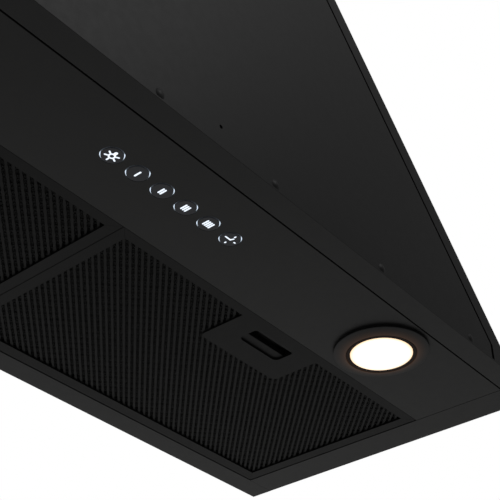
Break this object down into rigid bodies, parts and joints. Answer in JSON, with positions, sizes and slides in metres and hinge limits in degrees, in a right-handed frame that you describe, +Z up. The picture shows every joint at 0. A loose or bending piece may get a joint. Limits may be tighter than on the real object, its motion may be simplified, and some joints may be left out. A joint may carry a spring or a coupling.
{
  "type": "under cabinet range hood",
  "caption": "Black under cabinet range hood with lit push buttons, round lamps, hinged mesh grease filters with latches, a centrifugal blower and a damped duct collar.",
  "frame": {"origin": "centre of the four fixing holes, on the outer face of the top plate", "axes": "+Z up, +X to the right of a person facing the hood, +Y to the wall behind it"},
  "size_m": [0.7528, 0.3022, 0.3491],
  "materials": {
    "black_paint": "satin black powder coat",
    "filter_black": "black coated aluminium",
    "mesh_black": "black coated expanded aluminium mesh",
    "rivet_black": "painted steel dome head",
    "button_plastic": "matt moulded black",
    "light_guide": "diffusing light guide, lit cool white",
    "lens": "frosted diffuser, lit warm white",
    "galvanised": "galvanised sheet",
    "steel": "turned bright steel",
    "cast_alloy": "cast alloy",
    "abs": "moulded black plastic",
    "grey_plastic": "moulded light grey plastic",
    "board": "glass-epoxy circuit board",
    "wire_sleeve": "sleeved wires"
  },
  "bodies": {
    "hood": {"front_panel": "black_paint", "front_flange": "black_paint", "back_panel": "black_paint", "rear_flange": "black_paint", "right_side_panel": "black_paint", "left_side_panel": "black_paint", "top_plate": "black_paint", "control_panel": "black_paint", "front_rivets": "rivet_black", "duct_collar": "galvanised", "collar_flange": "galvanised", "collar_screws": "steel", "damper_spindle": "steel", "blower_scroll": "galvanised", "blower_left_side": "galvanised", "blower_right_side": "galvanised", "inlet_rings": "galvanised", "blower_brackets": "galvanised", "motor_housing": "cast_alloy", "motor_bearings": "steel", "motor_bracket": "galvanised", "run_capacitor": "grey_plastic", "junction_box": "abs", "junction_cover": "abs", "cable_gland": "abs", "led_driver": "grey_plastic", "wiring_harness": "wire_sleeve", "button_carrier": "abs", "button_light_rings": "light_guide", "button_switches": "abs", "control_board": "board", "lamp_boards": "board", "lamp_clips": "steel", "left_lamp_bezel": "black_paint", "left_lamp_lens": "lens", "left_lamp_housing": "cast_alloy", "right_lamp_bezel": "black_paint", "right_lamp_lens": "lens", "right_lamp_housing": "cast_alloy"},
    "button_light": {"button_light": "button_plastic"},
    "button_speed_1": {"button_speed_1": "button_plastic"},
    "button_speed_2": {"button_speed_2": "button_plastic"},
    "button_speed_3": {"button_speed_3": "button_plastic"},
    "button_speed_4": {"button_speed_4": "button_plastic"},
    "button_timer": {"button_timer": "button_plastic"},
    "left_filter": {"left_filter_frame": "filter_black", "left_filter_mesh": "mesh_black", "left_latch_plate": "filter_black", "left_latch_spring": "steel"},
    "left_latch": {"left_latch": "filter_black"},
    "right_filter": {"right_filter_frame": "filter_black", "right_filter_mesh": "mesh_black", "right_latch_plate": "filter_black", "right_latch_spring": "steel"},
    "right_latch": {"right_latch": "filter_black"},
    "impeller": {"impeller": "cast_alloy", "motor_shaft": "steel"},
    "front_flap": {"front_damper_flap": "galvanised"},
    "rear_flap": {"rear_damper_flap": "galvanised"}
  },
  "joints": [
    {"name": "light_press", "type": "slide", "parent": "hood", "child": "button_light", "axis": [0, 0, 1], "range_m": [0, 0.0015], "stiffness_N_per_m": 600, "springref_m": -0.001},
    {"name": "speed_1_press", "type": "slide", "parent": "hood", "child": "button_speed_1", "axis": [0, 0, 1], "range_m": [0, 0.0015], "stiffness_N_per_m": 600, "springref_m": -0.001},
    {"name": "speed_2_press", "type": "slide", "parent": "hood", "child": "button_speed_2", "axis": [0, 0, 1], "range_m": [0, 0.0015], "stiffness_N_per_m": 600, "springref_m": -0.001},
    {"name": "speed_3_press", "type": "slide", "parent": "hood", "child": "button_speed_3", "axis": [0, 0, 1], "range_m": [0, 0.0015], "stiffness_N_per_m": 600, "springref_m": -0.001},
    {"name": "speed_4_press", "type": "slide", "parent": "hood", "child": "button_speed_4", "axis": [0, 0, 1], "range_m": [0, 0.0015], "stiffness_N_per_m": 600, "springref_m": -0.001},
    {"name": "timer_press", "type": "slide", "parent": "hood", "child": "button_timer", "axis": [0, 0, 1], "range_m": [0, 0.0015], "stiffness_N_per_m": 600, "springref_m": -0.001},
    {"name": "left_filter_drop", "type": "hinge", "parent": "hood", "child": "left_filter", "pos_m": [-0.1731, 0.1302, -0.2843], "axis": [1, 0, 0], "range_deg": [0, 75]},
    {"name": "left_latch_pull", "type": "slide", "parent": "left_filter", "child": "left_latch", "axis": [0, 1, 0], "range_m": [0, 0.005], "stiffness_N_per_m": 500, "springref_m": -0.004, "deforming": ["left_latch_spring"]},
    {"name": "right_filter_drop", "type": "hinge", "parent": "hood", "child": "right_filter", "pos_m": [0.1731, 0.1302, -0.2843], "axis": [1, 0, 0], "range_deg": [0, 75]},
    {"name": "right_latch_pull", "type": "slide", "parent": "right_filter", "child": "right_latch", "axis": [0, 1, 0], "range_m": [0, 0.005], "stiffness_N_per_m": 500, "springref_m": -0.004, "deforming": ["right_latch_spring"]},
    {"name": "impeller_spin", "type": "hinge", "parent": "hood", "child": "impeller", "pos_m": [0, -0.019, -0.155], "axis": [1, 0, 0], "continuous": true},
    {"name": "front_flap_swing", "type": "hinge", "parent": "hood", "child": "front_flap", "pos_m": [0, 0.035, 0.018], "axis": [-1, 0, 0], "range_deg": [0, 75]},
    {"name": "rear_flap_swing", "type": "hinge", "parent": "hood", "child": "rear_flap", "pos_m": [0, 0.035, 0.018], "axis": [1, 0, 0], "range_deg": [0, 75]}
  ]
}
